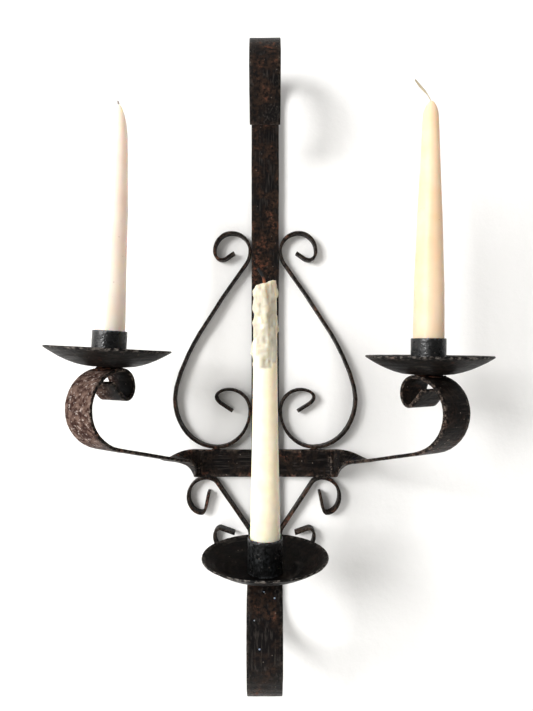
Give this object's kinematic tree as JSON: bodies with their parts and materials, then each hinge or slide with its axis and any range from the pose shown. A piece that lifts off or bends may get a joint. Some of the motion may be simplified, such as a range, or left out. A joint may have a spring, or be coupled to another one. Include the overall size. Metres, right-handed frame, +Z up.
{
  "type": "wall sconce candle holder",
  "caption": "Wrought iron wall sconce: a central spine with heart scrolls, and strap arms that hold taper candles over round drip pans.",
  "frame": {"origin": "on the wall, behind the hole in the spine that the sconce hangs by", "axes": "+Z up along the spine, -Y out from the wall, +X to the right as seen from the front"},
  "size_m": [0.3202, 0.1643, 0.516],
  "materials": {
    "wrought_iron": "near-black oiled wrought iron with patches of brown rust",
    "weld_metal": "rough rusty weld bead",
    "wax_ivory": "smooth ivory candle wax",
    "wax_cream": "smooth cream candle wax",
    "wax_pale": "pale candle wax with runs",
    "wick_cotton": "unburnt cotton",
    "wick_burnt": "charred cotton"
  },
  "bodies": {
    "frame": {"candle_socket_centre": "wrought_iron", "candle_socket_left": "wrought_iron", "candle_socket_right": "wrought_iron", "cross_strap": "wrought_iron", "drip_pan_centre": "wrought_iron", "drip_pan_left": "wrought_iron", "drip_pan_right": "wrought_iron", "heart_scroll_left": "wrought_iron", "heart_scroll_right": "wrought_iron", "lower_scroll_left": "wrought_iron", "lower_scroll_right": "wrought_iron", "spine": "wrought_iron", "weld_crossbar_bottom": "weld_metal", "weld_crossbar_top": "weld_metal", "weld_heart_crossbar_left": "weld_metal", "weld_heart_crossbar_right": "weld_metal", "weld_heart_foot_spine_left": "weld_metal", "weld_heart_foot_spine_right": "weld_metal", "weld_heart_top_spine_left": "weld_metal", "weld_heart_top_spine_right": "weld_metal", "weld_lower_crossbar_left": "weld_metal", "weld_lower_crossbar_right": "weld_metal", "weld_lower_spine_left": "weld_metal", "weld_lower_spine_right": "weld_metal", "weld_pan_centre": "weld_metal", "weld_pan_left": "weld_metal", "weld_pan_right": "weld_metal"},
    "taper_left": {"candle_left": "wax_ivory", "wick_left": "wick_cotton"},
    "taper_right": {"candle_right": "wax_cream", "wick_right": "wick_cotton"},
    "taper_centre": {"candle_centre": "wax_pale", "wick_centre": "wick_burnt"}
  },
  "joints": [
    {"name": "taper_left_lift", "type": "slide", "parent": "frame", "child": "taper_left", "axis": [0.0523, 0, 0.9986], "range_m": [0, 0.04]},
    {"name": "taper_right_lift", "type": "slide", "parent": "frame", "child": "taper_right", "axis": [0.0052, -0.0175, 0.9998], "range_m": [0, 0.04]},
    {"name": "taper_centre_lift", "type": "slide", "parent": "frame", "child": "taper_centre", "axis": [0, 0, 1], "range_m": [0, 0.04]}
  ]
}
